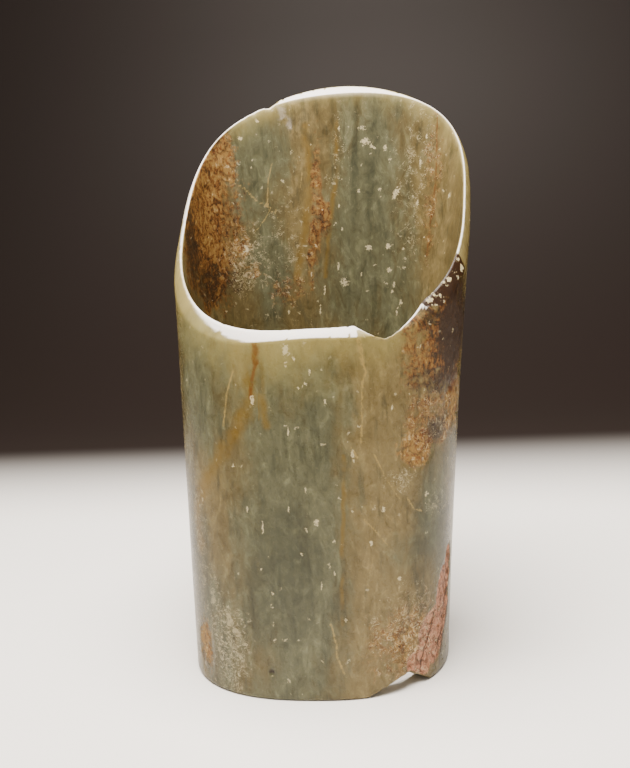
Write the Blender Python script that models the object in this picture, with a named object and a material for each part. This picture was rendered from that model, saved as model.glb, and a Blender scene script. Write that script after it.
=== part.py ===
"""A jade tube with one flat end and one slanting mouth, carved from a single block.

The tube stands on its flat end. Its oval section widens sideways towards the mouth, and the
mouth is cut on a slant, low at the front (-Y) and high at the back (+Y). The wall is ground
thin at the mouth. The old damage is part of the form: a break in the low lip, a nick in the
high lip and a chip through the foot.

Sizes are in metres, angles in degrees round the tube, from the front (0) towards +X (90).
"""
import math

import bmesh
import bpy

# Heights
HIGH_LIP = 0.1608          # top of the mouth, at the back
LOW_LIP = 0.0908           # outer edge of the mouth, at the front
MOUTH_SAG = 0.0024         # how far the mouth's sides dip below its flat plane

# The oval section at the foot and at the mouth
FOOT_WIDTH = 0.0710
FOOT_DEPTH = 0.0610
MOUTH_WIDTH = 0.0844
MOUTH_DEPTH = 0.0604
FOOT_SQUARENESS = 2.44     # exponent of the oval: 2 is an ellipse, more is squarer
MOUTH_SQUARENESS = 2.87
WAIST = 0.0007             # how far each side stays inside a straight flare at mid height

# The lean of the tube's middle line over its whole height
LEAN_BACK = 0.0089
LEAN_RIGHT = 0.0088
BOW_LEFT = 0.0007          # how far the middle line bends to the left at mid height

# Walls
FOOT_WALL = 0.0048
LIP_WALL = 0.0019
WALL_THINNING = 3.0        # power of the thinning: the wall keeps its thickness, then thins
SIDE_BEVEL = 0.0046        # extra depth of the lip's outer bevel at the sides
CREST_ROUNDING = 0.0004
FOOT_ROUNDING = 0.0009

# Old damage: where each starts, is deepest and ends, and how deep it is
LIP_BREAK = (21.5, 33.5, 51.0)
LIP_BREAK_DEPTH = 0.0043
LIP_NICK = (209.5, 216.0, 219.0)
LIP_NICK_DEPTH = 0.0012
FOOT_CHIP = (27.0, 45.5, 57.5)
FOOT_CHIP_DEPTH = 0.0042
SCAR_SLOPE = 0.45          # how far a break's floor falls towards the bore, for its depth
LEAST_CREST = 0.15         # share of the lip's width that stays outside the crest of a break

# Mesh
COLUMNS = 180
SKIN_ROWS = 9
BORE_ROWS = 9

JADE_COLOUR = (0.205, 0.180, 0.095, 1.0)
JADE_ROUGHNESS = 0.32


def middle_line(height):
    """X and Y of the section's centre at a height."""
    share = height / HIGH_LIP
    bow = 4.0 * share * (1.0 - share)
    return LEAN_RIGHT * share - BOW_LEFT * bow, LEAN_BACK * share


def section_point(angle, height, inset=0.0):
    """A point of the oval at a height, moved inwards by the inset."""
    share = height / HIGH_LIP
    waist = 4.0 * share * (1.0 - share) * WAIST
    half_width = 0.5 * (FOOT_WIDTH + (MOUTH_WIDTH - FOOT_WIDTH) * share) - waist - inset
    half_depth = 0.5 * (FOOT_DEPTH + (MOUTH_DEPTH - FOOT_DEPTH) * share) - inset
    power = FOOT_SQUARENESS + (MOUTH_SQUARENESS - FOOT_SQUARENESS) * share
    turn = math.radians(angle)
    across, along = math.sin(turn), -math.cos(turn)
    reach = (abs(across / half_width) ** power + abs(along / half_depth) ** power) ** (-1.0 / power)
    centre_x, centre_y = middle_line(height)
    return centre_x + reach * across, centre_y + reach * along, height


def mouth_height(angle, inset=0.0):
    """Height at which the mouth's slanting plane meets a column of the tube."""
    front = section_point(0.0, LOW_LIP)[1]
    back = section_point(180.0, HIGH_LIP)[1]
    slope = (HIGH_LIP - LOW_LIP) / (back - front)
    sag = MOUTH_SAG * math.sin(math.radians(angle)) ** 2
    height = 0.5 * (LOW_LIP + HIGH_LIP)
    for _ in range(30):
        y = section_point(angle, height, inset)[1]
        height += 0.5 * (LOW_LIP + slope * (y - front) - sag - height)
    return height


def damage(angle, span, depth):
    """Depth of a break at an angle: nothing at its two ends, all of it where it is deepest."""
    start, deepest, end = span
    if not start < angle < end:
        return 0.0
    flank = deepest - start if angle < deepest else end - deepest
    away = abs(angle - deepest) / flank
    return depth * (1.0 - away ** 1.25)


def lip_profile(angle):
    """The lip at one angle, as (inset, height) of its outer edge, its crest and its inner edge."""
    bevel = SIDE_BEVEL * math.sin(math.radians(angle)) ** 2
    outer = mouth_height(angle) - bevel
    inner = mouth_height(angle, LIP_WALL)
    lost = damage(angle, LIP_BREAK, LIP_BREAK_DEPTH) + damage(angle, LIP_NICK, LIP_NICK_DEPTH)
    level = max(outer, inner) - lost
    crest_share = 1.0
    if inner > outer:
        crest_share = min(max((level - outer) / (inner - outer), LEAST_CREST), 1.0)
    return (
        (0.0, min(outer, level)),
        (crest_share * LIP_WALL, min(inner, level)),
        (LIP_WALL + CREST_ROUNDING, min(inner, level) - CREST_ROUNDING - SCAR_SLOPE * lost),
    )


def wall_inset(height, lip_height):
    """Thickness of the wall at a height: full at the foot, thin at the lip."""
    share = min(max(height / lip_height, 0.0), 1.0)
    lip = LIP_WALL + CREST_ROUNDING
    return lip + (FOOT_WALL - lip) * (1.0 - share ** WALL_THINNING)


def column(angle):
    """All points of one column: up the skin, over the lip, down the bore and across the foot."""
    outer, crest, inner = lip_profile(angle)
    lift = damage(angle, FOOT_CHIP, FOOT_CHIP_DEPTH)
    points = [section_point(angle, lift, FOOT_ROUNDING)]
    low = lift + FOOT_ROUNDING
    for row in range(SKIN_ROWS + 1):
        height = low + (outer[1] - low) * row / SKIN_ROWS
        points.append(section_point(angle, height))
    points.append(section_point(angle, crest[1], crest[0]))
    for row in range(BORE_ROWS + 1):
        height = inner[1] + (lift - inner[1]) * row / BORE_ROWS
        points.append(section_point(angle, height, wall_inset(height, inner[1])))
    return points


def clear_scene():
    for thing in list(bpy.data.objects):
        bpy.data.objects.remove(thing, do_unlink=True)


def jade_material():
    material = bpy.data.materials.new("polished_jade")
    material.use_nodes = True
    shader = material.node_tree.nodes["Principled BSDF"]
    shader.inputs["Base Color"].default_value = JADE_COLOUR
    shader.inputs["Roughness"].default_value = JADE_ROUGHNESS
    shader.inputs["Metallic"].default_value = 0.0
    return material


def make_tube():
    """One closed skin: every column is joined to the next, all the way round."""
    columns = [column(360.0 * index / COLUMNS) for index in range(COLUMNS)]
    everything = [point for points in columns for point in points]
    middle_x = 0.5 * (min(p[0] for p in everything) + max(p[0] for p in everything))
    middle_y = 0.5 * (min(p[1] for p in everything) + max(p[1] for p in everything))
    shell = bmesh.new()
    rings = [[shell.verts.new((x - middle_x, y - middle_y, z)) for x, y, z in points] for points in columns]
    for index, ring in enumerate(rings):
        neighbour = rings[(index + 1) % COLUMNS]
        for row in range(len(ring)):
            following = (row + 1) % len(ring)
            shell.faces.new((ring[row], neighbour[row], neighbour[following], ring[following]))
    mesh = bpy.data.meshes.new("jade_tube")
    shell.to_mesh(mesh)
    shell.free()
    mesh.shade_smooth()
    mesh.set_sharp_from_angle(angle=math.radians(35.0))
    mesh.materials.append(jade_material())
    tube = bpy.data.objects.new("jade_tube", mesh)
    bpy.context.scene.collection.objects.link(tube)
    return tube


clear_scene()
make_tube()
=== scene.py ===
"""Looks of a jade tube with a slanting mouth: its fine surface, its stone and a plain stage.

The tube is one piece of nephrite. It is built here as one dense skin on the same form as the
solid model: up the outside, over the ground lip, down the bore and across the foot.

Angles are in degrees round the tube, from the front (0) towards +X (90). Marks on the stone are
placed by angle and by height in millimetres.
"""
import functools
import math

import bpy
import numpy as np
from mathutils import Euler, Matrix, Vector, noise


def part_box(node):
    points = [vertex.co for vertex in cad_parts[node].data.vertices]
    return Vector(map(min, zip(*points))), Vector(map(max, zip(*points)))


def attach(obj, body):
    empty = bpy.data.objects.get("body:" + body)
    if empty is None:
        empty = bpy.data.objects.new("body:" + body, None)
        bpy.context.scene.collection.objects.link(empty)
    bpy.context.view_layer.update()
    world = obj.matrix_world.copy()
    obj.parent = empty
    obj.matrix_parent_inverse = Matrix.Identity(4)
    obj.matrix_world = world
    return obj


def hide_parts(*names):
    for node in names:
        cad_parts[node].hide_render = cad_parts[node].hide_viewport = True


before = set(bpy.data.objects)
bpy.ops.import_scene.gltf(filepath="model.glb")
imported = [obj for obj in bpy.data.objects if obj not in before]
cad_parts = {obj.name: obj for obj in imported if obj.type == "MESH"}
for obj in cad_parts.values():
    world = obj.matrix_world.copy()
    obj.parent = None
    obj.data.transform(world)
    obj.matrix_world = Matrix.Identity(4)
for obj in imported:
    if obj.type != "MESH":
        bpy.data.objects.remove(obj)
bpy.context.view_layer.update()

bl_info = {
    "name": "Jade tube",
    "version": (1, 0, 0),
    "blender": (4, 5, 0),
    "location": "3D View > Sidebar > Jade tube",
    "description": "Carves a weathered jade tube with a slanting mouth and sets a plain stage",
    "category": "Object",
}

MM = 0.001
TUBE_LOW, TUBE_HIGH = (Vector(corner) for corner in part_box("jade_tube"))
PHOTO_LONG_SIDE = 768      # pixels of the image's long side, which the lens is reckoned for


def linear(hex_colour):
    """An sRGB hex colour as linear red, green and blue, and full opacity."""
    channels = [int(hex_colour[i:i + 2], 16) / 255.0 for i in (0, 2, 4)]
    return [*(c / 12.92 if c <= 0.04045 else ((c + 0.055) / 1.055) ** 2.4 for c in channels), 1.0]


def length_setting(name, default, description):
    """A setting in the frame's metres."""
    return bpy.props.FloatProperty(name=name, description=description, default=default, unit='LENGTH')


def number_setting(name, default, description):
    """A setting without a unit."""
    return bpy.props.FloatProperty(name=name, description=description, default=default)


def angle_setting(name, degrees, description):
    """A setting that is an angle."""
    return bpy.props.FloatProperty(
        name=name, description=description, default=math.radians(degrees), unit='ROTATION')


def span_setting(name, degrees, description):
    """A setting that holds three places round the tube, in degrees."""
    return bpy.props.FloatVectorProperty(name=name, description=description, default=degrees)


def colour_setting(name, hex_colour, description):
    """A setting that is a colour."""
    return bpy.props.FloatVectorProperty(
        name=name, description=description, default=linear(hex_colour), subtype='COLOR', size=4)


# Marks of the stone: (face, angle, height in mm, half width in degrees, half height in mm, strength)

GREY_GREEN = (
    ("skin", -8, 45, 24, 60, 1.0),
    ("skin", -50, 80, 16, 20, 0.9),
    ("skin", -44, 12, 10, 22, 0.7),
    ("skin", 58, 46, 10, 14, 0.7),
    ("skin", 45, 36, 12, 6, 0.55),
    ("skin", 150, 60, 24, 90, 0.9),
    ("skin", -115, 40, 20, 50, 0.8),
    ("bore", 158, 120, 22, 45, 1.0),
    ("bore", 172, 100, 18, 16, 0.8),
    ("bore", 140, 96, 14, 20, 0.8),
    ("bore", -137, 141, 15, 13, 1.0),
    ("bore", -143, 108, 10, 22, 1.0),
    ("bore", -132, 126, 8, 7, 0.8),
    ("bore", 20, 50, 40, 60, 0.8),
)
HONEY = (
    ("skin", 32, 45, 14, 60, 0.8),
    ("skin", 28, 10, 16, 11, 1.1),
    ("skin", 45, 82, 14, 12, 0.9),
    ("skin", -15, 87, 34, 6, 0.8),
    ("skin", -48, 46, 11, 20, 0.5),
    ("skin", -75, 60, 10, 60, 0.5),
    ("skin", 170, 90, 20, 50, 0.6),
    ("bore", -163, 128, 12, 36, 0.5),
    ("bore", 118, 122, 14, 50, 0.5),
    ("bore", -160, 152, 12, 6, 0.9),
)
RUST = (
    ("skin", 62, 88, 18, 17, 1.0),
    ("skin", 50, 94, 10, 6, 0.8),
    ("skin", 46, 13, 22, 13, 0.70),
    ("skin", 57, 69, 16, 12, 0.70),
    ("skin", -80, 90, 7, 18, 0.9),
    ("skin", 120, 60, 14, 30, 0.6),
    ("skin", -160, 30, 20, 18, 0.6),
    ("bore", -102, 124, 23, 26, 1.2),
    ("bore", -118, 143, 9, 10, 1.0),
    ("bore", -122, 120, 12, 16, 0.72),
    ("bore", -112, 108, 16, 12, 1.0),
    ("bore", -170, 128, 4, 24, 0.75),
    ("bore", -175, 122, 5, 6, 0.85),
    ("bore", -167, 110, 3, 12, 0.7),
    ("bore", 124, 128, 6, 26, 0.56),
    ("bore", -152, 100, 14, 6, 0.6),
)
CRUST = (
    ("skin", 47, 62, 8, 5, 1.0),
    ("skin", 68, 72, 9, 7, 0.85),
    ("skin", 44, 12, 12, 8, 0.75),
    ("skin", -54, 9, 6, 8, 0.9),
    ("skin", -80, 82, 4, 6, 0.8),
    ("skin", -78, 68, 3, 12, 0.7),
    ("bore", -121, 146, 7, 6, 1.0),
    ("bore", -124, 137, 5, 5, 0.95),
    ("bore", -112, 131, 4, 3, 0.75),
    ("bore", -128, 115, 6, 5, 0.85),
    ("bore", -134, 107, 7, 3, 0.75),
)
SALMON_SCAR = (
    ("skin", 71, 28, 3.5, 5, 1.0),
    ("skin", 66, 20, 6, 8, 1.0),
    ("skin", 58, 12, 8, 7, 1.0),
    ("skin", 50, 6, 7, 4, 0.9),
)
DEEP_GREEN = (
    ("skin", -8, 33, 12, 20, 1.0),
    ("skin", -22, 30, 8, 18, 0.8),
    ("skin", 62, 40, 12, 14, 1.0),
    ("skin", 50, 40, 7, 9, 0.8),
    ("skin", -56, 34, 10, 20, 1.0),
    ("skin", 66, 60, 9, 8, 0.7),
    ("bore", 166, 138, 3, 18, 0.9),
    ("bore", 156, 138, 4, 20, 0.8),
    ("bore", -178, 112, 3, 14, 0.7),
)
DARK_STAIN = (
    ("skin", 67, 92, 13, 12, 1.15),
    ("skin", 52, 95, 6, 4, 0.7),
    ("skin", 56, 66, 5, 3, 0.9),
    ("skin", 60, 78, 13, 4, 0.8),
    ("bore", -93, 113, 8, 12, 0.6),
    ("bore", -106, 104, 12, 6, 0.6),
    ("bore", -124, 103, 8, 5, 0.6),
)
SHOULDER_PITS = (
    ("skin", 54, 99, 5, 3, 1.1),
    ("skin", 60, 102, 6, 4, 1.2),
    ("skin", 67, 106, 5, 3, 1.0),
)
SCALY = (
    ("skin", -39, 11, 11, 12, 1.0),
    ("skin", -46, 26, 4, 9, 0.8),
    ("skin", 46, 14, 18, 13, 0.8),
    ("skin", 41, 55, 7, 4, 0.8),
    ("skin", 60, 47, 8, 5, 0.7),
    ("skin", 56, 68, 14, 10, 0.6),
    ("skin", -55, 40, 8, 22, 0.6),
    ("bore", -130, 110, 12, 12, 0.9),
    ("bore", -150, 112, 14, 24, 0.5),
    ("bore", 132, 132, 12, 26, 0.55),
    ("bore", 176, 140, 8, 14, 0.5),
)
PALE_NICK = (
    ("bore", -146, 155.5, 9, 1.6, 0.8),
    ("bore", -150, 153.0, 3.0, 2.0, 0.7),
    ("bore", -153.5, 150.5, 2.2, 2.4, 0.65),
)

MARKS = {
    "grey_green": GREY_GREEN, "honey": HONEY, "rust": RUST, "crust": CRUST, "salmon": SALMON_SCAR,
    "deep_green": DEEP_GREEN, "dark_stain": DARK_STAIN, "pits": SHOULDER_PITS, "scaly": SCALY,
    "pale_nick": PALE_NICK,
}

# Single pale flecks: (face, angle, height in mm, half width in mm, half height in mm)
FLECKS = (
    ("skin", -10, 88.3, 0.9, 1.5), ("skin", -25, 76.5, 0.6, 1.4), ("skin", -9, 68.5, 0.3, 1.2),
    ("skin", -1, 80, 0.5, 0.5), ("skin", 1, 83, 0.3, 0.9), ("skin", 8, 75.5, 0.4, 0.7),
    ("skin", -1, 54, 0.3, 0.9), ("skin", -9, 49, 0.3, 1.0), ("skin", -28, 49, 0.3, 1.0),
    ("skin", -6, 86, 0.3, 0.8), ("skin", -10, 84.5, 0.3, 0.4), ("skin", -4, 79, 0.4, 0.4),
    ("skin", 20, 62, 0.5, 1.4), ("skin", 36, 73, 0.3, 0.8), ("skin", 40, 30, 0.5, 0.7),
    ("skin", 12, 33, 0.3, 0.6), ("skin", 6, 30, 0.3, 1.0), ("skin", -17, 28, 0.4, 0.5),
    ("skin", 28, 40, 0.4, 0.9), ("skin", -34, 60, 0.4, 0.6), ("skin", 4, 46, 0.7, 0.9),
    ("skin", 12, 41, 0.4, 0.5), ("skin", -3, 38, 0.4, 0.4), ("skin", -21, 45, 0.35, 1.6),
    ("skin", -22, 34, 0.35, 0.4), ("skin", 52, 50, 0.6, 0.6), ("skin", 33, 48, 0.5, 0.7),
    # this last skin fleck is a pale dash just under the small pit low on the front
    ("skin", -18.1, 6.3, 0.6, 0.2),
    ("skin", 150, 90, 0.8, 1.2), ("skin", -140, 60, 0.7, 1.1), ("skin", 175, 40, 0.6, 0.9),
    ("skin", -100, 45, 0.6, 1.3), ("skin", 95, 88, 0.6, 1.0), ("skin", 130, 120, 0.7, 0.9),
    ("bore", 162, 148, 1.1, 0.5), ("bore", 160, 143.5, 1.5, 1.2), ("bore", 156, 142, 0.7, 0.5),
    ("bore", 154, 141, 0.6, 0.4), ("bore", 149, 141, 0.6, 1.1), ("bore", 176, 148, 0.4, 0.8),
    ("bore", 131, 135.5, 0.4, 1.4), ("bore", 129, 143, 0.5, 0.7), ("bore", 142, 128, 1.0, 1.1),
    ("bore", 143, 126.5, 0.5, 0.9), ("bore", 151, 129, 0.5, 0.7), ("bore", 163, 129, 0.5, 0.7),
    ("bore", 112, 125, 0.6, 0.9), ("bore", 131, 124, 0.4, 0.9), ("bore", 126, 114, 0.4, 0.4),
    ("bore", 175, 125, 0.5, 0.6), ("bore", -174, 124, 0.4, 0.5), ("bore", 173, 118, 0.4, 0.6),
    ("bore", 156, 112, 0.9, 0.9), ("bore", 145, 112, 0.8, 0.9), ("bore", 137, 111, 0.5, 0.5),
    ("bore", -167, 105, 0.3, 0.9), ("bore", 175, 107, 0.4, 1.1), ("bore", 171, 102, 1.3, 1.2),
    ("bore", 160, 104, 0.3, 0.8), ("bore", 144, 105, 0.7, 0.8), ("bore", 141, 101, 0.4, 0.5),
    ("bore", 142, 98.5, 0.5, 0.5), ("bore", 137, 95, 0.5, 1.0), ("bore", 139, 92, 0.3, 0.9),
    ("bore", -176, 100, 0.35, 1.5), ("bore", -173, 94, 0.35, 1.7), ("bore", -153, 94, 0.4, 0.7),
    ("bore", -130, 147, 0.8, 0.9), ("bore", -131, 114, 0.9, 1.2), ("bore", -138, 152, 0.7, 0.6),
)

# Fine lines in the stone: (face, half width in mm, points as angle and height in mm)
PALE_CRACKS = (
    ("skin", 0.45, ((22.5, 90), (23.5, 87), (24.0, 84.5))),
    ("skin", 0.28, ((24.0, 84.5), (25.5, 82), (24.2, 80), (24.0, 70), (23.6, 65))),
    ("skin", 0.30, ((19.5, 64), (22, 61.5))),
    ("skin", 0.24, ((29, 62), (33, 57), (37, 52.5), (40, 50))),
    ("skin", 0.26, ((43, 50), (46, 47), (50, 46))),
    ("skin", 0.25, ((25, 46), (31, 42), (36, 38))),
    ("skin", 0.30, ((10, 20), (12, 16), (13, 11), (16, 7))),
    ("skin", 0.25, ((-33, 84), (-36, 78), (-38, 70))),
    ("bore", 0.22, ((-145, 140), (-142.5, 134), (-142, 127), (-143.5, 125.5))),
    ("bore", 0.22, ((-143.5, 125.5), (-140, 122), (-136.5, 119.5), (-134, 118))),
    ("bore", 0.26, ((-144, 125.5), (-150, 125), (-158, 122))),
    ("bore", 0.24, ((-144, 125), (-148, 122), (-153, 120.5))),
    ("bore", 0.40, ((-143, 126), (-137, 128), (-131, 132), (-126, 134))),
    ("bore", 0.20, ((-158, 140), (-161, 136), (-160, 131))),
)
RUST_VEINS = (
    ("skin", 0.8, ((-23, 92), (-23.5, 86))),
    ("skin", 0.4, ((-23.5, 86), (-26, 77))),
    ("bore", 0.6, ((-171, 134), (-175, 122), (-171, 116), (-168, 108))),
    ("bore", 0.3, ((125, 150), (122, 130), (124, 108))),
    ("skin", 0.6, ((140, 150), (143, 120), (139, 90), (142, 60))),
)
OCHRE_VEINS = (
    ("skin", 2.0, ((-24, 86), (-25, 77), (-30, 72), (-38, 64), (-48, 55), (-56, 48), (-54, 38))),
    ("skin", 0.9, ((-22, 84), (-20, 76), (-19, 70))),
    ("skin", 0.5, ((16.5, 62), (16, 46), (15, 35), (15.5, 20))),
    ("bore", 1.2, ((-162, 150), (-166, 135), (-163, 118), (-158, 104))),
    ("bore", 0.7, ((178, 150), (177, 135), (181, 120), (184, 104))),
)
DARK_CRACKS = (
    ("skin", 0.28, ((51.5, 3), (52, 6), (54, 9), (58, 14), (60, 19))),
    ("skin", 0.25, ((62, 6), (67, 12), (71, 20), (78, 28))),
    ("skin", 0.30, ((64, 2), (66, 8), (73, 17), (78, 26))),
    # this one is a dark dot inside the small pit low on the front, not a crack
    ("skin", 0.55, ((-18.7, 7.4), (-17.7, 7.4))),
)

LINES = {
    "pale_crack": PALE_CRACKS, "dark_crack": DARK_CRACKS, "rust_vein": RUST_VEINS,
    "ochre_vein": OCHRE_VEINS,
}

# The small round pit low on the front: angle, height, radius and depth in mm
SKIN_PIT = (-18.1, 7.4, 0.9, 0.9)

# Low relief in mm: an even part, a part that follows fine noise, and a part in small pits
SKIN_WAVE, BORE_WAVE = 0.10, 0.16
CRUST_LOSS, CRUST_GRAIN, CRUST_PITS = 0.16, 0.34, 0.35
RUST_GRAIN = 0.16
PORE_LOSS, PORE_PITS = 0.15, 1.3
SCAR_LOSS, SCAR_GRAIN, SCAR_PITS = 0.50, 0.40, 0.25
FOOT_FADE = 3.0            # the relief fades to nothing over this height above the foot
MARK_WARP = 0.35           # how far broad noise bends the edges of the marks, in their half widths


class TubeSizes(bpy.types.PropertyGroup):
    """Sizes of the tube."""

    high_lip: length_setting("High lip", TUBE_HIGH.z - TUBE_LOW.z, "Height of the mouth at the back")
    low_lip: length_setting("Low lip", 0.0908, "Height of the mouth's outer edge at the front")
    mouth_sag: length_setting("Mouth sag", 0.0024, "How far the mouth's sides dip below its flat plane")
    foot_width: length_setting("Foot width", 0.0710, "Width of the oval foot")
    foot_depth: length_setting("Foot depth", 0.0610, "Depth of the oval foot")
    mouth_width: length_setting("Mouth width", 0.0844, "Width of the oval at the high lip")
    mouth_depth: length_setting("Mouth depth", 0.0604, "Depth of the oval at the high lip")
    foot_squareness: number_setting("Foot squareness", 2.44, "Exponent of the oval at the foot")
    mouth_squareness: number_setting("Mouth squareness", 2.87, "Exponent of the oval at the mouth")
    waist: length_setting("Waist", 0.0007, "How far each side stays inside a straight flare")
    lean_back: length_setting("Lean back", 0.0089, "Backward lean of the middle line")
    lean_right: length_setting("Lean right", 0.0088, "Sideways lean of the middle line")
    bow_left: length_setting("Bow left", 0.0007, "Bend of the middle line at mid height")
    foot_wall: length_setting("Foot wall", 0.0048, "Thickness of the wall at the foot")
    lip_wall: length_setting("Lip wall", 0.0019, "Thickness of the wall at the lip")
    wall_thinning: number_setting("Wall thinning", 3.0, "Power of the thinning towards the lip")
    side_bevel: length_setting("Side bevel", 0.0046, "Extra depth of the lip's outer bevel at the sides")
    crest_rounding: length_setting("Crest rounding", 0.0004, "Rounding of the lip's inner edge")
    foot_rounding: length_setting("Foot rounding", 0.0009, "Rounding of the foot's outer edge")


class DamageSizes(bpy.types.PropertyGroup):
    """The old breaks: start, deepest place and end in degrees, and depths."""

    lip_break: span_setting(
        "Lip break", (21.5, 33.5, 51.0), "Start, deepest place and end of the break in the low lip")
    lip_break_depth: length_setting("Lip break depth", 0.0043, "Depth of that break")
    lip_nick: span_setting(
        "Lip nick", (209.5, 216.0, 219.0), "Start, deepest place and end of the nick in the high lip")
    lip_nick_depth: length_setting("Lip nick depth", 0.0012, "Depth of that nick")
    foot_chip: span_setting(
        "Foot chip", (27.0, 45.5, 57.5), "Start, deepest place and end of the chip in the foot")
    foot_chip_depth: length_setting("Foot chip depth", 0.0042, "Height of that chip")
    scar_slope: number_setting(
        "Scar slope", 0.45, "Fall of a break's floor towards the bore, for its depth")
    least_crest: number_setting(
        "Least crest", 0.15, "Share of the lip that stays outside a break's crest")


class JadeColours(bpy.types.PropertyGroup):
    """Colours of the stone."""

    grey_green: colour_setting("Grey-green", "5f5e46", "The cool bands of the jade")
    deep_green: colour_setting("Deep green", "383a29", "The darkest streaks of those bands")
    olive: colour_setting("Olive", "645736", "The common ground of the jade")
    honey: colour_setting("Honey", "7c6d49", "The lighter yellow bands")
    ochre: colour_setting("Ochre", "775c1c", "The soft stain along a healed crack")
    rust: colour_setting("Rust", "6b3d10", "Iron stain in weathered stone")
    deep_rust: colour_setting("Deep rust", "2a1507", "The darker red-brown of that stain")
    tan_crust: colour_setting("Tan crust", "8f6e38", "Rough weathered crust")
    salmon_crust: colour_setting("Salmon crust", "a47258", "The pinker part of the crust")
    dark_stain: colour_setting("Dark stain", "2c1908", "Manganese and soil in the pores")
    fleck: colour_setting("Fleck", "d2c59e", "Pale flecks in the stone")
    healed_crack: colour_setting("Healed crack", "a8925c", "Fine pale lines")
    # ground lip: partly the edge's own paler stone, partly a painted highlight
    ground_lip_and_highlight: colour_setting("Ground lip", "faf5f2", "The thin ground edge of the mouth")
    # glowing edge: a painted glow, the light through the thin stone laid into the colour
    glowing_edge: colour_setting("Glowing edge", "a99c62", "Stone thin enough to let light through")


class StageSettings(bpy.types.PropertyGroup):
    """The stage: its board and its camera."""

    floor_colour: colour_setting("Floor", "faf8f6", "Pale floor")
    # the dark wall, and the painted shade that darkens the floor behind the tube
    shade_and_wall_colour: colour_setting("Wall", "211916", "Plain wall behind")
    lens_pixels: number_setting("Lens", 800.0, "Focal length in pixels of the photograph")
    camera_turn: angle_setting("Camera turn", 7.96, "Place of the camera round the tube")
    camera_distance: length_setting(
        "Camera distance", 0.2166, "Distance from the foot's middle, along the floor")
    camera_height: length_setting("Camera height", 0.1094, "Height above the floor")
    camera_swing: angle_setting(
        "Camera swing", 0.57, "How far it looks past the foot's middle, to the right")
    camera_pitch: angle_setting("Camera pitch", 8.82, "How far it looks down")
    camera_roll: angle_setting("Camera roll", 3.61, "Tilt of the camera to the right")


SETTINGS = {
    "jade_tube_sizes": TubeSizes, "jade_tube_damage": DamageSizes,
    "jade_tube_colours": JadeColours, "jade_tube_stage": StageSettings,
}


# The form of the tube, on arrays of angles and heights

COLUMNS = 384
SKIN_ROWS = 128
LIP_ROWS = 6
BORE_ROWS = 108
FOOT_ROWS = 4
SETTLING_ROUNDS = 30       # rounds in which the mouth's heights settle on its slanting plane

# How uneven the broken and worn edges are
RAGGED_BREAK = 0.35 * MM
RAGGED_CHIP = 0.4 * MM
LIP_WEAR = 0.5 * MM
LIP_BULGE = 0.16 * MM
FULLY_RAGGED = 1.5 * MM    # a break is fully ragged from this depth


def section_point(sizes, angle, height, inset):
    """Points of the oval section at each height, moved inwards by the inset."""
    share = height / sizes.high_lip
    middle = 4.0 * share * (1.0 - share)
    half_width = 0.5 * (sizes.foot_width + (sizes.mouth_width - sizes.foot_width) * share)
    half_width = half_width - middle * sizes.waist - inset
    half_depth = 0.5 * (sizes.foot_depth + (sizes.mouth_depth - sizes.foot_depth) * share) - inset
    power = sizes.foot_squareness + (sizes.mouth_squareness - sizes.foot_squareness) * share
    across, along = np.sin(np.radians(angle)), -np.cos(np.radians(angle))
    reach = (np.abs(across / half_width) ** power + np.abs(along / half_depth) ** power) ** (-1.0 / power)
    x = sizes.lean_right * share - sizes.bow_left * middle + reach * across
    y = sizes.lean_back * share + reach * along
    return x, y


def mouth_height(sizes, angle, inset):
    """Heights at which the mouth's slanting plane meets the columns."""
    front = section_point(sizes, np.zeros(1), np.full(1, sizes.low_lip), 0.0)[1][0]
    back = section_point(sizes, np.full(1, 180.0), np.full(1, sizes.high_lip), 0.0)[1][0]
    slope = (sizes.high_lip - sizes.low_lip) / (back - front)
    sag = sizes.mouth_sag * np.sin(np.radians(angle)) ** 2
    height = np.full(angle.shape, 0.5 * (sizes.low_lip + sizes.high_lip))
    for _ in range(SETTLING_ROUNDS):
        y = section_point(sizes, angle, height, inset)[1]
        height = height + 0.5 * (sizes.low_lip + slope * (y - front) - sag - height)
    return height


def damage(angle, span, depth):
    """Depth of a break at each angle: nothing at its two ends, all of it where it is deepest."""
    start, deepest, end = span
    flank = np.where(angle < deepest, deepest - start, end - deepest)
    away = np.clip(np.abs(angle - deepest) / flank, 0.0, 1.0)
    inside = (angle > start) & (angle < end)
    return np.where(inside, depth * (1.0 - away ** 1.25), 0.0)


def ragged(angle, pitch, seed):
    """Uneven steps along a broken edge, between -1 and 1, one for every few degrees of pitch."""
    return np.array([noise.noise(Vector((a / pitch, seed, 0.0))) for a in angle])


def lip_profile(sizes, breaks, angle):
    """Inset and height of the lip's outer edge, crest and inner edge, and what is broken off."""
    bevel = sizes.side_bevel * np.sin(np.radians(angle)) ** 2
    outer = mouth_height(sizes, angle, 0.0) - bevel
    inner = mouth_height(sizes, angle, sizes.lip_wall)
    lost = damage(angle, breaks.lip_break, breaks.lip_break_depth)
    lost = lost + damage(angle, breaks.lip_nick, breaks.lip_nick_depth)
    rough = np.clip(lost / FULLY_RAGGED, 0.0, 1.0) * ragged(angle, 1.6, 3.0) * RAGGED_BREAK
    wear = np.maximum(ragged(angle, 2.2, 7.0) - 0.25, 0.0) * LIP_WEAR
    lost = lost + np.where(lost > 0.0, rough, wear)
    level = np.maximum(outer, inner) - lost
    rise = np.where(inner > outer, inner - outer, 1.0)
    crest_share = np.where(inner > outer, np.clip((level - outer) / rise, breaks.least_crest, 1.0), 1.0)
    crest = np.minimum(inner, level)
    last = crest - sizes.crest_rounding - breaks.scar_slope * np.maximum(lost, 0.0)
    return (
        (np.zeros(angle.shape), np.minimum(outer, level)),
        (crest_share * sizes.lip_wall, crest),
        (np.full(angle.shape, sizes.lip_wall + sizes.crest_rounding), last),
        lost,
    )


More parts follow.
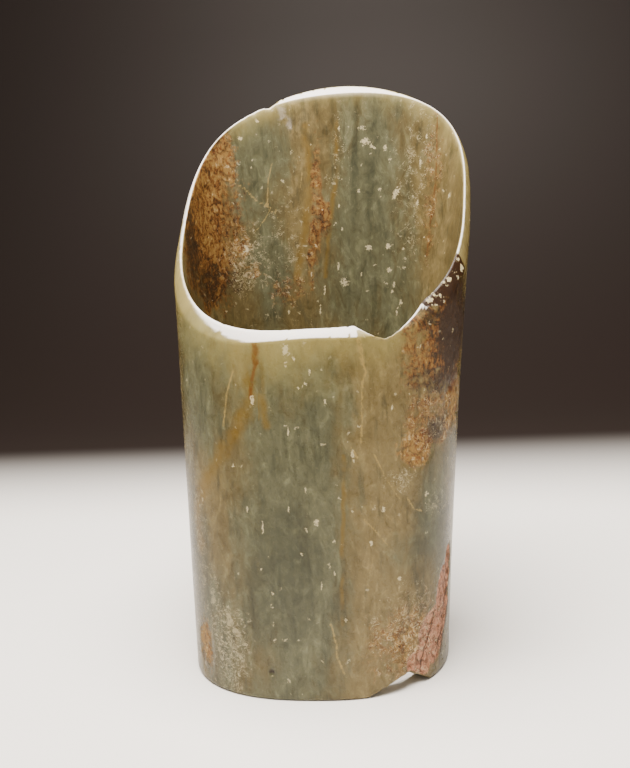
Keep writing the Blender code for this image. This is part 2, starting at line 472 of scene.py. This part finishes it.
def wall_inset(sizes, height, lip_height):
    """Thickness of the wall at each height: full at the foot, thin at the lip."""
    share = np.clip(height / lip_height, 0.0, 1.0)
    lip = sizes.lip_wall + sizes.crest_rounding
    return lip + (sizes.foot_wall - lip) * (1.0 - share ** sizes.wall_thinning)


def skin_grid(sizes, breaks):
    """The whole surface as rings of points, with each ring's face and its place across the lip."""
    angle = np.arange(COLUMNS) * 360.0 / COLUMNS
    outer, crest, inner, lost = lip_profile(sizes, breaks, angle)
    lift = damage(angle, breaks.foot_chip, breaks.foot_chip_depth)
    lift = lift + np.clip(lift / FULLY_RAGGED, 0.0, 1.0) * ragged(angle, 2.0, 11.0) * RAGGED_CHIP
    rings = []

    def add_ring(face, inset, height, share=-1.0):
        x, y = section_point(sizes, angle, height, inset)
        rings.append((face, share, np.stack([x, y, height], axis=1)))

    for row in range(FOOT_ROWS + 1):
        swing = 0.5 * math.pi * row / FOOT_ROWS
        inset = sizes.foot_rounding * (1.0 - math.sin(swing))
        add_ring("foot" if row == 0 else "skin", inset, lift + sizes.foot_rounding * (1.0 - math.cos(swing)))
    low = lift + sizes.foot_rounding
    for row in range(1, SKIN_ROWS + 1):
        add_ring("skin", 0.0, low + (outer[1] - low) * row / SKIN_ROWS, 0.2 * (row - SKIN_ROWS))
    for row in range(1, LIP_ROWS + 1):
        share = row / LIP_ROWS
        bulge = LIP_BULGE * math.sin(math.pi * share)
        height = outer[1] + (crest[1] - outer[1]) * share
        add_ring("lip", np.maximum(outer[0] + (crest[0] - outer[0]) * share - bulge, 0.0), height, share)
    add_ring("lip", 0.5 * (crest[0] + inner[0]), 0.35 * inner[1] + 0.65 * crest[1], 1.3)
    for row in range(BORE_ROWS + 1):
        height = inner[1] + (lift - inner[1]) * row / BORE_ROWS
        add_ring("bore", wall_inset(sizes, height, inner[1]), height, 1.6 + row)
    for row in range(1, FOOT_ROWS):
        share = row / FOOT_ROWS
        add_ring("foot", sizes.foot_wall + (sizes.foot_rounding - sizes.foot_wall) * share, lift)
    faces = [face for face, _, _ in rings]
    shares = [share for _, share, _ in rings]
    points = np.stack([ring for _, _, ring in rings], axis=0)
    return angle, faces, shares, points, lost


def swell(angle, middle, half_width):
    """1 at a middle angle, falling smoothly to 0 at a half width from it."""
    away = np.clip(np.abs(turned(angle - middle)) / half_width, 0.0, 1.0)
    return 0.5 + 0.5 * np.cos(math.pi * away)


def lip_whiteness(angle, share, broken):
    """How pale the ground lip is drawn, partly its own paler stone and partly a painted highlight: all of it
    at the front and back, a thin line on the right side, and a soft bevel at the front left."""
    narrow = np.clip(1.6 * swell(angle, 92.0, 72.0), 0.0, 1.0)
    narrow = np.maximum(narrow, np.clip(2.0 * broken, 0.0, 1.0))
    soft = swell(angle, -66.0, 46.0)
    start = 0.02 + 0.80 * narrow + 0.76 * soft
    white = smooth_step(start, start + 0.10 + 0.40 * soft, share)
    inner = np.clip(1.0 - (share - 1.1) / (0.5 - 0.25 * narrow), 0.0, 1.0)
    return np.where(share > 1.1, inner, white)


def lip_glow(angle, below, inside):
    """How much light comes through the thin stone: least on the right, and less further down."""
    left, right = swell(angle, -60.0, 50.0), swell(angle, 70.0, 75.0)
    reach = np.where(inside, 13.0, 30.0 - 20.0 * right)
    strength = 0.74 - 0.16 * left - 0.40 * right - np.where(inside, 0.15, 0.0)
    return strength * np.clip(1.0 - below / reach, 0.0, 1.0) ** 2.2


def turned(angle):
    """Angles brought between -180 and 180 degrees."""
    return (angle + 180.0) % 360.0 - 180.0


def mark_strength(marks, face_of, angle, height, warp):
    """How strongly a set of marks covers each point: 1 well inside one, 0.5 at its edge."""
    total = np.zeros(angle.shape)
    for face, at, level, half_width, half_height, strength in marks:
        across = turned(angle - at) / half_width
        along = (height - level) / half_height
        reach = np.sqrt(across ** 2 + along ** 2) + warp
        value = np.where(face_of == face, strength * np.clip(1.5 - reach, 0.0, 1.0), 0.0)
        total = np.maximum(total, value)
    return total


# How far off a mark is still told, and the third component of a place beyond that, in marks' sizes
FLECK_REACH, LINE_REACH, FAR_AWAY = 6.0, 8.0, 12.0


def kept_apart(reach):
    """A third component that grows away from a mark, so no false line forms between two marks."""
    return 4.0 * np.maximum(reach - 1.6, 0.0)


def fleck_offsets(face_of, angle, height, girth):
    """Vector from the nearest fleck's middle to each point, in units of that fleck's size."""
    best = np.full(angle.shape, FLECK_REACH)
    offset = np.zeros(angle.shape + (3,))
    offset[:, 2] = FAR_AWAY
    for face, at, level, half_width, half_height in FLECKS:
        across = np.radians(turned(angle - at)) * girth / half_width
        along = (height - level) / half_height
        reach = np.hypot(across, along)
        closer = (reach < best) & (face_of == face)
        best = np.where(closer, reach, best)
        offset[closer] = np.stack([across, along, kept_apart(reach)], axis=-1)[closer]
    return offset


def line_offsets(lines, face_of, angle, height, girth):
    """Offset from the nearest line: across it, past its ends, in units of that line's half width."""
    best = np.full(angle.shape, LINE_REACH)
    offset = np.zeros(angle.shape + (3,))
    offset[:, 2] = FAR_AWAY
    for face, half_width, points in lines:
        for (angle_a, height_a), (angle_b, height_b) in zip(points, points[1:]):
            along_x = np.radians(angle_b - angle_a) * girth
            along_z = height_b - height_a
            span = np.hypot(along_x, along_z)
            x = np.radians(turned(angle - angle_a)) * girth
            z = height - height_a
            along = (x * along_x + z * along_z) / span
            side = (x * along_z - z * along_x) / span / half_width
            beyond = np.maximum(np.maximum(-along, along - span), 0.0) / half_width
            reach = np.hypot(side, beyond)
            closer = (reach < best) & (face_of == face)
            best = np.where(closer, reach, best)
            offset[closer] = np.stack([side, beyond, kept_apart(reach)], axis=-1)[closer]
    return offset


def surface_normals(points):
    """Outward normals of a closed grid of rings."""
    up = np.roll(points, -1, axis=0) - np.roll(points, 1, axis=0)
    around = np.roll(points, -1, axis=1) - np.roll(points, 1, axis=1)
    normal = np.cross(around, up)
    return normal / np.maximum(np.linalg.norm(normal, axis=2, keepdims=True), 1e-12)


def noise_field(points, feature, octaves, stretch=1.0, seed=0.0):
    """Fractal noise with features of a size in mm, stretched along the tube's height."""
    scale = 1.0 / (feature * MM)
    values = np.empty(points.shape[0])
    for index, (x, y, z) in enumerate(points.tolist()):
        place = Vector((x * scale + seed, y * scale, z * scale / stretch))
        values[index] = noise.fractal(place, 1.0, 2.0, octaves)
    return values


def cell_field(points, feature, seed):
    """Distance to the nearest of scattered points, in units of their spacing in mm."""
    scale = 1.0 / (feature * MM)
    values = np.empty(points.shape[0])
    for index, (x, y, z) in enumerate(points.tolist()):
        distances, _ = noise.voronoi(Vector((x * scale + seed, y * scale, z * scale)))
        values[index] = distances[0]
    return values


def smooth_step(low, high, value):
    """0 up to the low value, 1 from the high value, and smooth between them."""
    share = np.clip((value - low) / (high - low), 0.0, 1.0)
    return share * share * (3.0 - 2.0 * share)


class TUBE_OT_carve(bpy.types.Operator):
    """Carve the jade tube as one dense skin, with its marks and its stone"""

    bl_idname = "jade_tube.carve"
    bl_label = "Carve the tube"

    def execute(self, context):
        sizes, breaks = context.scene.jade_tube_sizes, context.scene.jade_tube_damage
        angle, faces, shares, points, lost = skin_grid(sizes, breaks)
        rings = len(faces)
        low, high = points.min(axis=(0, 1)), points.max(axis=(0, 1))
        points[:, :, 0] -= 0.5 * (low[0] + high[0])
        points[:, :, 1] -= 0.5 * (low[1] + high[1])
        flat = points.reshape(-1, 3)
        angles = turned(np.tile(angle, rings))
        heights = flat[:, 2] / MM
        face_of = np.repeat(np.array(faces), COLUMNS)
        outside = np.where(face_of == "lip", "skin", face_of)
        share_of = np.repeat(np.array(shares), COLUMNS)
        broken = np.tile(np.clip(lost / MM, 0.0, 1.0), rings)
        top = np.tile(points[:, :, 2].max(axis=0), rings)
        girth = np.hypot(flat[:, 0], flat[:, 1]) / MM
        broad = noise_field(flat, 9.0, 3, 1.6)
        masks = {
            name: mark_strength(marks, outside, angles, heights, MARK_WARP * broad)
            for name, marks in MARKS.items()
        }
        relief = self.relief(flat, face_of, angles, heights, girth, masks, broad)
        normals = surface_normals(points).reshape(-1, 3)
        carved = flat + normals * relief[:, None] * MM
        carved = np.clip(carved, np.array(TUBE_LOW), np.array(TUBE_HIGH))
        mesh = self.make_mesh(carved, rings)
        self.store(mesh, "lip", lip_whiteness(angles, share_of, broken))
        self.store(mesh, "lip_glow", lip_glow(angles, top / MM - heights, face_of == "bore"))
        self.store(mesh, "polish", np.where(face_of == "skin", 1.0, 0.0))
        for name, values in masks.items():
            self.store(mesh, name, values)
        for name, lines in LINES.items():
            self.store(mesh, name, line_offsets(lines, face_of, angles, heights, girth))
        self.store(mesh, "fleck", fleck_offsets(face_of, angles, heights, girth))
        tube = bpy.data.objects.new("carved_jade_tube", mesh)
        context.scene.collection.objects.link(tube)
        mesh.materials.append(polished_nephrite(context.scene.jade_tube_colours))
        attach(tube, "root")
        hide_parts("jade_tube")
        return {'FINISHED'}

    @staticmethod
    def relief(flat, face_of, angles, heights, girth, masks, broad):
        """Height of the surface over its plain form, in mm: hand grinding, weathering and pits."""
        skin, bore = face_of == "skin", face_of == "bore"
        hand_ground = noise_field(flat, 16.0, 2, 1.5, 5.0)
        result = np.where(skin, SKIN_WAVE * hand_ground, 0.0) + np.where(bore, BORE_WAVE * hand_ground, 0.0)
        rough = np.abs(noise_field(flat, 2.2, 4, 1.0, 9.0))
        cells = cell_field(flat, 1.9, 2.0)
        hollows = np.clip(0.5 - cells, 0.0, 0.5)
        crust = smooth_step(0.40, 0.75, masks["crust"] + 0.35 * broad)
        rust = smooth_step(0.45, 0.9, masks["rust"] + 0.3 * broad)
        pores = smooth_step(0.30, 0.7, masks["pits"])
        scar = smooth_step(0.35, 0.8, masks["salmon"])
        crust_pits = CRUST_PITS * np.clip(0.55 - cells, 0.0, 1.0)
        result = result - crust * (CRUST_LOSS + CRUST_GRAIN * rough + crust_pits)
        result = result - rust * RUST_GRAIN * rough
        result = result - pores * (PORE_LOSS + PORE_PITS * hollows)
        result = result - scar * (SCAR_LOSS + SCAR_GRAIN * rough + SCAR_PITS * hollows)
        at, level, radius, depth = SKIN_PIT
        reach = np.hypot(np.radians(turned(angles - at)) * girth, heights - level) / radius
        result = result - np.where(skin, depth * np.clip(1.0 - reach, 0.0, 1.0), 0.0)
        fade = np.clip(heights / FOOT_FADE, 0.0, 1.0)
        return np.where(skin | bore, result * fade, 0.0)

    @staticmethod
    def make_mesh(points, rings):
        """One closed skin: every ring is joined to the next, and the last one to the first."""
        mesh = bpy.data.meshes.new("carved_jade_tube")
        ring, column = np.meshgrid(np.arange(rings), np.arange(COLUMNS), indexing='ij')
        next_ring, next_column = (ring + 1) % rings, (column + 1) % COLUMNS
        corners = np.stack([
            ring * COLUMNS + column, ring * COLUMNS + next_column,
            next_ring * COLUMNS + next_column, next_ring * COLUMNS + column], axis=-1).reshape(-1, 4)
        mesh.from_pydata(points.tolist(), [], corners.tolist())
        mesh.update()
        mesh.shade_smooth()
        return mesh

    @staticmethod
    def store(mesh, name, values):
        """Keep a number or a vector for each point, for the stone to read."""
        values = np.asarray(values, dtype=np.float32)
        kind, field = ('FLOAT', "value") if values.ndim == 1 else ('FLOAT_VECTOR', "vector")
        mesh.attributes.new(name, kind, 'POINT').data.foreach_set(field, values.ravel())


def feed(node, inputs):
    """Fill a node's inputs: a socket is linked, and anything else is a value."""
    for name, value in inputs.items():
        if isinstance(value, bpy.types.NodeSocket):
            node.id_data.links.new(value, node.inputs[name])
        else:
            node.inputs[name].default_value = value


def add_node(tree, kind, settings, inputs, output=0):
    """Add a node with its settings and links, and give one of its outputs."""
    node = tree.nodes.new(kind)
    for name, value in settings.items():
        setattr(node, name, value)
    feed(node, inputs)
    return node.outputs[output]


def polished_nephrite(colours):
    """Nephrite jade, sawn and ground by hand with wet sand, then polished and long buried.

    The eye sees a soft, waxy gloss over a cloudy stone: bands of grey-green, olive and honey that
    run along the tube, felted with short fibres, iron stain and rough crust where it weathered,
    and pale flecks and healed cracks.
    """
    material = bpy.data.materials.new("polished_nephrite")
    material.use_nodes = True
    tree = material.node_tree
    node = functools.partial(add_node, tree)

    def sum_of(start, *terms):
        """A start value and patterns, each times its weight."""
        for pattern, weight in terms:
            start = node('ShaderNodeMath', {"operation": 'MULTIPLY_ADD'}, {0: pattern, 1: weight, 2: start})
        return start

    def where(*ramps):
        """The product of smooth ramps over patterns: (pattern, value for 0, value for top, top)."""
        share = 1.0
        for pattern, low, high, top in ramps:
            ramp = node('ShaderNodeMapRange', {"interpolation_type": 'SMOOTHSTEP'}, {
                "Value": pattern, "From Min": low, "From Max": high, "To Max": top})
            share = node('ShaderNodeMath', {"operation": 'MULTIPLY'}, {0: share, 1: ramp})
        return share

    def lay(over, under, *shares):
        """Lay a colour over another, by the greatest of some shares."""
        share = shares[0]
        for other in shares[1:]:
            share = node('ShaderNodeMath', {"operation": 'MAXIMUM'}, {0: share, 1: other})
        return node('ShaderNodeMix', {"data_type": 'RGBA'}, {0: share, 6: under, 7: over}, 2)

    place = node('ShaderNodeTexCoord', {}, {}, "Object")
    along = node('ShaderNodeMapping', {}, {"Vector": place, "Scale": (1.0, 1.0, 0.16)})
    felted = node('ShaderNodeMapping', {}, {"Vector": place, "Scale": (1.0, 1.0, 0.55)})

    # The grain of the stone: space, feature in mm, detail, roughness and curl. The real fibres are
    # hundredths of a millimetre long, so felt and fibres are drawn as coarse as they need to show.
    bands, streaks, clouds, billows, felt, fibres, mottle, curls, swirls, strands, fine = (
        node('ShaderNodeTexNoise', {}, {
            "Vector": space, "Scale": 1.0 / (feature * MM), "Detail": detail, "Roughness": roughness,
            "Distortion": curl})
        for space, feature, detail, roughness, curl in (
            (along, 5.0, 4.0, 0.55, 0.0),      # bands
            (along, 1.8, 4.0, 0.6, 0.0),       # streaks
            (felted, 8.0, 5.0, 0.6, 0.8),      # clouds
            (felted, 4.0, 6.0, 0.68, 1.4),     # billows
            (felted, 1.6, 5.0, 0.66, 0.6),     # felt
            (felted, 0.8, 4.0, 0.65, 0.0),     # fibres
            (place, 2.2, 6.0, 0.65, 0.0),      # mottle
            (place, 2.4, 5.0, 0.65, 1.2),      # curls
            (place, 3.0, 7.0, 0.70, 1.7),      # swirls
            (place, 1.6, 3.0, 0.5, 1.6),       # strands
            (place, 0.5, 4.0, 0.6, 0.0),       # fine
        ))
    hairs = node('ShaderNodeMath', {"operation": 'ABSOLUTE'}, {0: sum_of(-0.5, (strands, 1.0))})

    mask = {
        name: node('ShaderNodeAttribute', {"attribute_name": name}, {}, "Fac")
        for name in (*MARKS, "lip", "lip_glow", "polish")}

    def stained(name, gain, curl=0.0):
        """A mark with an edge broken up by the grain, and nothing at all outside the mark."""
        share = sum_of(-0.5 * (gain + curl), (mask[name], 1.0), (mottle, gain), (curls, curl))
        gate = where((mask[name], 0.02, 0.2, 1.0))
        return node('ShaderNodeMath', {"operation": 'MULTIPLY'}, {0: share, 1: gate})

    def scattered(feature, spread, middle=0.0):
        """A vector of noise with a feature in mm: the spread times what it differs from a middle."""
        noise_colour = node('ShaderNodeTexNoise', {}, {
            "Vector": place, "Scale": 1.0 / (feature * MM), "Detail": 3.0, "Roughness": 0.6}, "Color")
        centred = node('ShaderNodeVectorMath', {"operation": 'SUBTRACT'}, {0: noise_colour, 1: (middle,) * 3})
        return node('ShaderNodeVectorMath', {"operation": 'SCALE'}, {0: centred, "Scale": spread})

    def distance(name, feature, wobble):
        """Distance from a mark in units of its size, made uneven by noise."""
        offset = node('ShaderNodeAttribute', {"attribute_name": name}, {}, "Vector")
        moved = node('ShaderNodeVectorMath', {"operation": 'ADD'}, {
            0: offset, 1: scattered(feature, wobble, 0.5)})
        return node('ShaderNodeVectorMath', {"operation": 'LENGTH'}, {0: moved}, "Value")

    # Bands of the stone
    honeyed = sum_of(0.0, (mask["honey"], 1.0), (bands, -1.0), (clouds, 1.4))
    green = sum_of(0.0, (mask["grey_green"], 1.0), (bands, 1.0), (billows, 1.4))
    streaked = sum_of(0.0, (streaks, 1.0), (clouds, 0.6))
    stone = lay(colours.honey, colours.olive, where((honeyed, 0.15, 1.15, 1.0)))
    stone = lay(colours.grey_green, stone, where((green, 1.25, 2.15, 1.0)))
    stone = lay(colours.deep_green, stone, where((streaked, 0.78, 0.60, 0.45)))
    stone = lay(colours.deep_green, stone, where((stained("deep_green", 1.2), 0.25, 1.0, 0.55)))
    for ramp, value, saturation in (
            ((bands, 0.50, 0.36, 0.4), 0.72, 1.08),
            ((billows, 0.50, 0.34, 0.7), 0.60, 1.1),
            ((billows, 0.52, 0.66, 0.7), 1.55, 1.0),
            ((felt, 0.50, 0.36, 0.4), 0.66, 1.1),
            ((felt, 0.53, 0.66, 0.5), 1.5, 0.95)):
        toned = node('ShaderNodeHueSaturation', {}, {
            "Color": stone, "Value": value, "Saturation": saturation})
        stone = lay(toned, stone, where(ramp))

    # Painted glow: the wall is thin near the lip, and the light that comes through it is painted into the
    # colour there
    glow = sum_of(-0.3, (mask["lip_glow"], 1.0), (clouds, 0.6))
    stone = lay(colours.glowing_edge, stone, where((glow, 0.0, 0.9, 0.9)))

    # Iron stain: soft ochre along healed cracks, and granular rust where the stone weathered
    ochre_vein = distance("ochre_vein", 4.0, 2.6)
    stone = lay(colours.ochre, stone, where((ochre_vein, 1.8, 0.1, 1.0), (clouds, 0.33, 0.55, 0.6)))
    rust_vein = distance("rust_vein", 2.0, 2.8)
    stone = lay(colours.rust, stone, where((rust_vein, 1.7, 0.3, 1.0), (felt, 0.34, 0.56, 0.7)))
    granules = sum_of(0.0, (fibres, 0.4), (swirls, 0.6), (mask["dark_stain"], -0.14))
    rust_tone = lay(colours.rust, colours.deep_rust, where((granules, 0.40, 0.49, 1.0)))
    rust_tone = lay(colours.tan_crust, rust_tone, where((granules, 0.47, 0.56, 0.95)))
    rust_tone = lay(colours.fleck, rust_tone, where((granules, 0.58, 0.68, 0.6)))
    rust_tone = lay(colours.tan_crust, rust_tone, where((hairs, 0.026, 0.006, 0.35)))
    rust_mark = stained("rust", 1.4, 0.8)
    stone = lay(rust_tone, stone, where((rust_mark, 0.38, 0.90, 0.92)))

    # Crust of tan and salmon, cracked into scales, and soil that stayed in it
    uneven = node('ShaderNodeVectorMath', {"operation": 'ADD'}, {0: place, 1: scattered(1.5, 3.0 * MM)})
    gaps = node('ShaderNodeTexVoronoi', {"feature": 'DISTANCE_TO_EDGE'}, {
        "Vector": uneven, "Scale": 1.0 / (2.8 * MM)}, "Distance")
    gaps = sum_of(gaps, (curls, 0.5))
    crust_share = where((stained("crust", 1.3, 1.2), 0.42, 0.85, 0.9))
    scar_share = where((stained("salmon", 0.8), 0.42, 0.54, 1.0))
    for share, tone, pale, grains, pale_grains in (
            (crust_share, colours.tan_crust, 0.6, (0.42, 0.50), (0.55, 0.63)),
            (scar_share, colours.salmon_crust, 0.5, (0.40, 0.50), (0.55, 0.64))):
        crust_tone = lay(tone, colours.rust, where((granules, *grains, 1.0)))
        crust_tone = lay(colours.fleck, crust_tone, where((granules, *pale_grains, pale)))
        crust_tone = lay(colours.deep_rust, crust_tone, where((gaps, 0.38, 0.24, 0.65)))
        stone = lay(crust_tone, stone, share)
    stone = lay(colours.dark_stain, stone, where((stained("dark_stain", 1.2, 1.2), 0.32, 1.05, 0.8)))

    # Pale flecks, scales and healed cracks
    scales = where((sum_of(mottle, (mask["scaly"], 0.30)), 0.62, 0.78, 1.0), (hairs, 0.034, 0.010, 0.55))
    patches = where((sum_of(curls, (mask["scaly"], 0.16)), 0.68, 0.78, 0.45))
    cells = node('ShaderNodeTexVoronoi', {}, {"Vector": uneven, "Scale": 1.0 / (3.0 * MM)}, "Distance")
    chance = node('ShaderNodeSeparateColor', {}, {"Color": cells.node.outputs["Color"]})
    pores = sum_of(cells, (fine, 0.5))
    specks = where((pores, 0.41, 0.33, 0.6), (chance, 0.5, 0.9, 1.0))
    flecks = where((distance("fleck", 0.6, 3.8), 1.1, 0.6, 0.85))
    stone = lay(colours.fleck, stone, flecks, specks, scales, patches)
    pale_crack = distance("pale_crack", 0.9, 2.8)
    stone = lay(colours.healed_crack, stone, where((pale_crack, 1.5, 0.5, 1.0), (fibres, 0.36, 0.56, 0.75)))
    stone = lay(colours.deep_rust, stone, where((distance("dark_crack", 1.2, 2.2), 1.3, 0.5, 0.8)))

    # The skin is polished and the bore was left ground; the skin, but for its weathered places, is toned
    # darker and a little richer than the bore
    weathered = where((rust_mark, 0.5, 1.0, 0.6))
    for share in (crust_share, scar_share):
        weathered = node('ShaderNodeMath', {"operation": 'MAXIMUM'}, {0: weathered, 1: share})
    polished = node('ShaderNodeMath', {"operation": 'MULTIPLY'}, {
        0: mask["polish"], 1: sum_of(1.0, (weathered, -1.0))})
    toned = node('ShaderNodeHueSaturation', {}, {"Color": stone, "Value": 0.84, "Saturation": 1.05})
    stone = lay(toned, stone, polished)

    # The ground edge is paler still, partly its own paler stone and partly a painted highlight laid on as
    # near white, but for the pores full of soil on the right shoulder
    stone = lay(colours.ground_lip_and_highlight, stone, where((stained("pale_nick", 1.2, 1.2), 0.4, 1.0, 0.2)))
    lip = sum_of(-0.25, (mask["lip"], 1.0), (fibres, 0.5))
    stone = lay(colours.ground_lip_and_highlight, stone, where((lip, 0.05, 0.9, 0.95)))
    pore_tone = lay(colours.fleck, colours.dark_stain, where((pores, 0.60, 0.46, 0.85)))
    stone = lay(pore_tone, stone, where((stained("pits", 0.9), 0.40, 0.55, 1.0)))

    waxiness = where((mottle, 0.40, 0.60, 0.06))
    roughness = sum_of(0.36, (waxiness, 1.0), (mask["polish"], -0.10), (weathered, 0.34))
    crumbs = node('ShaderNodeMath', {"operation": 'MULTIPLY'}, {0: weathered, 1: granules})
    bump = node('ShaderNodeBump', {}, {
        "Strength": 0.4, "Distance": 0.15 * MM, "Height": sum_of(felt, (crumbs, 4.0))})
    feed(tree.nodes["Principled BSDF"], {
        "Base Color": stone,
        "Roughness": roughness,
        "Normal": bump,
        "IOR": 1.61,       # nephrite's own
        "Specular IOR Level": 0.18,
        "Subsurface Weight": 0.30,
        "Subsurface Radius": (1.0, 0.85, 0.5),
        "Subsurface Scale": 1.6 * MM,
    })
    return material


def matte_board(colours):
    """Painted board of the stage: matt and pale underfoot, and darker behind, where painted shade stands for
    the light falling off into darkness.
    """
    material = bpy.data.materials.new("matte_board")
    material.use_nodes = True
    tree = material.node_tree
    place = add_node(tree, 'ShaderNodeTexCoord', {}, {}, "Object")
    depth = add_node(tree, 'ShaderNodeSeparateXYZ', {}, {"Vector": place}, "Y")
    # painted shade: from 0.10 m to 0.26 m behind the tube the floor darkens to the wall colour
    share = add_node(tree, 'ShaderNodeMapRange', {"interpolation_type": 'SMOOTHSTEP'}, {
        "Value": depth, "From Min": 0.10, "From Max": 0.26})
    colour = add_node(tree, 'ShaderNodeMix', {"data_type": 'RGBA'}, {
        0: share, 6: colours.floor_colour, 7: colours.shade_and_wall_colour}, 2)
    feed(tree.nodes["Principled BSDF"], {
        "Base Color": colour, "Roughness": 0.6, "Specular IOR Level": 0.3})
    return material


class TUBE_OT_stage(bpy.types.Operator):
    """Set the floor, the soft lights and the camera"""

    bl_idname = "jade_tube.stage"
    bl_label = "Set the stage"

    def execute(self, context):
        stage = context.scene.jade_tube_stage
        self.lay_floor(context, stage)
        self.hang_lights(context)
        self.stand_camera(context, stage)
        return {'FINISHED'}

    @staticmethod
    def lay_floor(context, stage):
        """One sheet: a floor that turns up into a wall behind the tube."""
        half_width, front, bend, radius, top, bend_steps = 2.5, -2.5, 0.30, 0.35, 2.0, 16
        profile = [(front, 0.0), (bend, 0.0)]
        for step in range(1, bend_steps + 1):
            swing = 0.5 * math.pi * step / bend_steps
            profile.append((bend + radius * math.sin(swing), radius * (1.0 - math.cos(swing))))
        profile.append((bend + radius, top))
        points = [(side * half_width, y, z) for y, z in profile for side in (-1, 1)]
        quads = [(2 * i, 2 * i + 1, 2 * i + 3, 2 * i + 2) for i in range(len(profile) - 1)]
        mesh = bpy.data.meshes.new("stage_sheet")
        mesh.from_pydata(points, [], quads)
        mesh.shade_smooth()
        mesh.materials.append(matte_board(stage))
        sheet = bpy.data.objects.new("stage_sheet", mesh)
        context.scene.collection.objects.link(sheet)

    @staticmethod
    def hang_lights(context):
        """A soft light overhead, one from the front left and a weak one from the right."""
        lamps = (
            ("overhead_soft_light", (-0.03, -0.06, 0.64), (0.0, 0.01, 0.08), 0.40, 17.0, "fff6ea"),
            ("front_left_soft_light", (-0.45, -1.05, 0.75), (0.0, 0.0, 0.09), 0.80, 1.2, "fff4e6"),
            ("right_soft_light", (0.95, -0.30, 0.50), (0.0, 0.0, 0.08), 0.60, 1.2, "fffaf4"),
        )
        for name, place, target, size, power, colour in lamps:
            light = bpy.data.lights.new(name, 'AREA')
            light.size = size
            light.energy = power
            light.color = linear(colour)[:3]
            lamp = bpy.data.objects.new(name, light)
            lamp.location = place
            lamp.rotation_euler = (Vector(target) - Vector(place)).to_track_quat('-Z', 'Y').to_euler()
            context.scene.collection.objects.link(lamp)
        world = context.scene.world or bpy.data.worlds.new("soft_room")
        context.scene.world = world
        world.use_nodes = True
        background = world.node_tree.nodes["Background"]
        feed(background, {"Color": linear("f2efec"), "Strength": 0.12})

    @staticmethod
    def stand_camera(context, stage):
        """The camera stands in front, a little to the right, and looks slightly down."""
        sizes = context.scene.jade_tube_sizes
        foot_x = TUBE_LOW.x + 0.5 * sizes.foot_width
        foot_y = TUBE_LOW.y + 0.5 * sizes.foot_depth
        camera = bpy.data.cameras.new("camera")
        camera.sensor_fit = 'AUTO'
        camera.sensor_width = 36.0
        camera.lens = stage.lens_pixels / PHOTO_LONG_SIDE * camera.sensor_width
        eye = bpy.data.objects.new("camera", camera)
        eye.location = (
            foot_x + stage.camera_distance * math.sin(stage.camera_turn),
            foot_y - stage.camera_distance * math.cos(stage.camera_turn),
            stage.camera_height)
        heading = stage.camera_turn - stage.camera_swing
        facing = Euler((0.5 * math.pi - stage.camera_pitch, 0.0, heading), 'XYZ').to_matrix()
        roll = Euler((0.0, 0.0, -stage.camera_roll), 'XYZ').to_matrix()
        eye.rotation_euler = (facing @ roll).to_euler()
        context.scene.collection.objects.link(eye)
        context.scene.camera = eye


class TUBE_PT_panel(bpy.types.Panel):
    """Sizes, colours and steps of the jade tube"""

    bl_idname = "TUBE_PT_panel"
    bl_label = "Jade tube"
    bl_space_type = 'VIEW_3D'
    bl_region_type = 'UI'
    bl_category = "Jade tube"

    def draw(self, context):
        layout = self.layout
        for group in SETTINGS:
            settings = getattr(context.scene, group)
            box = layout.box()
            for name in settings.bl_rna.properties.keys():
                if name not in ("rna_type", "name"):
                    box.prop(settings, name)
        layout.operator(TUBE_OT_carve.bl_idname)
        layout.operator(TUBE_OT_stage.bl_idname)


CLASSES = (*SETTINGS.values(), TUBE_OT_carve, TUBE_OT_stage, TUBE_PT_panel)


def register():
    for one in CLASSES:
        bpy.utils.register_class(one)
    for name, group in SETTINGS.items():
        setattr(bpy.types.Scene, name, bpy.props.PointerProperty(type=group))


def unregister():
    for name in SETTINGS:
        delattr(bpy.types.Scene, name)
    for one in reversed(CLASSES):
        bpy.utils.unregister_class(one)


def main():
    register()
    bpy.ops.jade_tube.carve()
    bpy.ops.jade_tube.stage()


if __name__ == "__main__":
    main()
